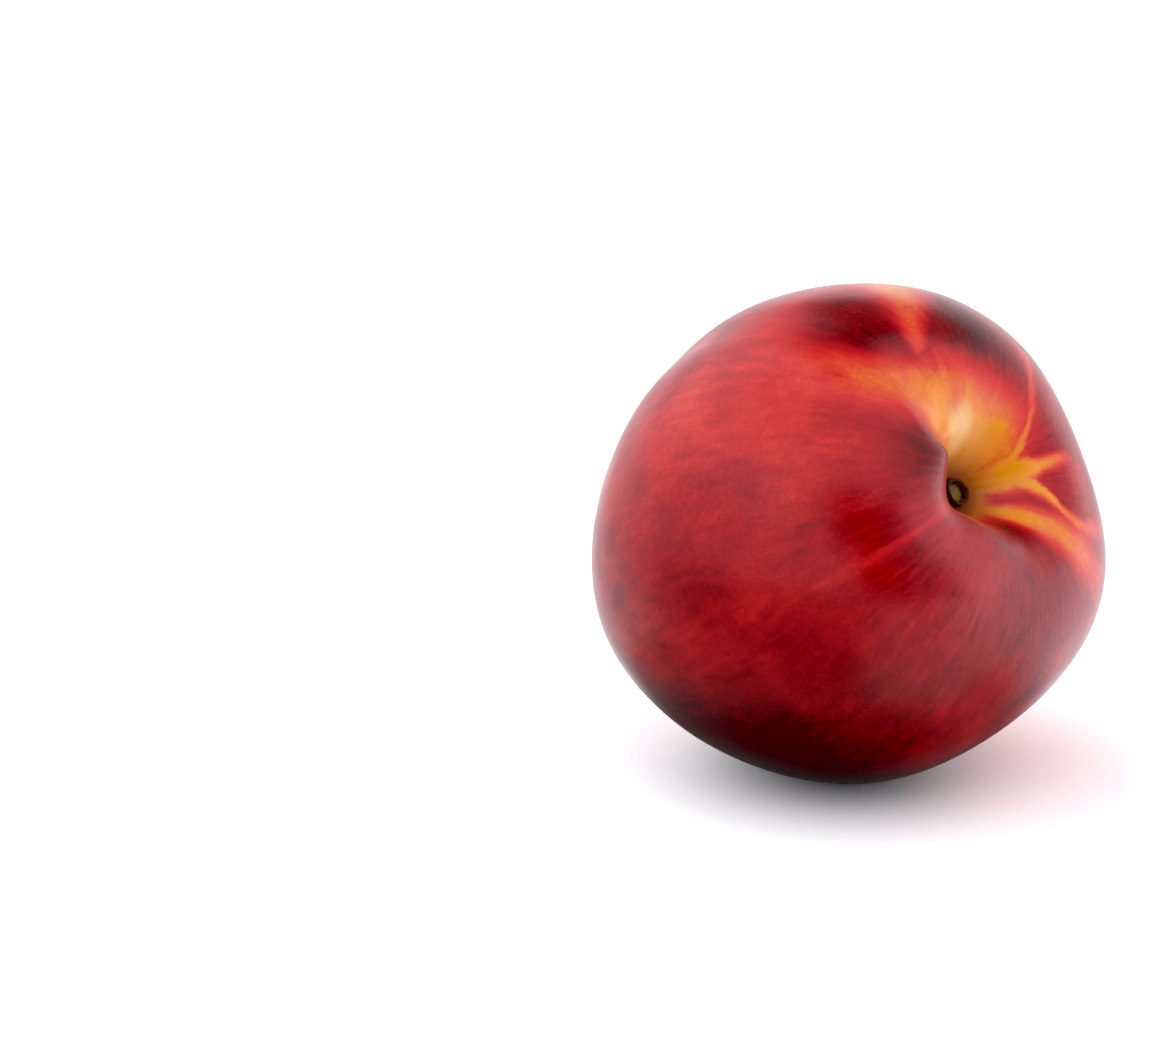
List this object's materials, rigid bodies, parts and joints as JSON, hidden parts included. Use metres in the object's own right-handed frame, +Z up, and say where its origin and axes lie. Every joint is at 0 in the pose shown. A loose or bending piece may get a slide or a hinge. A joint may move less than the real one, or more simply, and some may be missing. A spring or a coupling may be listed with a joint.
{
  "type": "nectarine",
  "caption": "Whole ripe nectarine lying on its side: smooth red and yellow skin, a shallow suture groove, and a stem cavity that holds the woody stub of its stalk.",
  "frame": {"origin": "middle of the small flat spot that the fruit rests on, at Z = 0", "axes": "+Z up. The stem end points to -Y, about 30 degrees above the horizontal, and the blossom end points to +Y and down. The suture leaves the stem cavity upwards and to -X."},
  "size_m": [0.0679, 0.0669, 0.0667],
  "materials": {
    "skin": "smooth glossy skin, deep red over orange and yellow ground colour",
    "stalk_wood": "dry rough bark"
  },
  "bodies": {
    "root": {"fruit": "skin", "stalk_stub": "stalk_wood"}
  },
  "joints": []
}
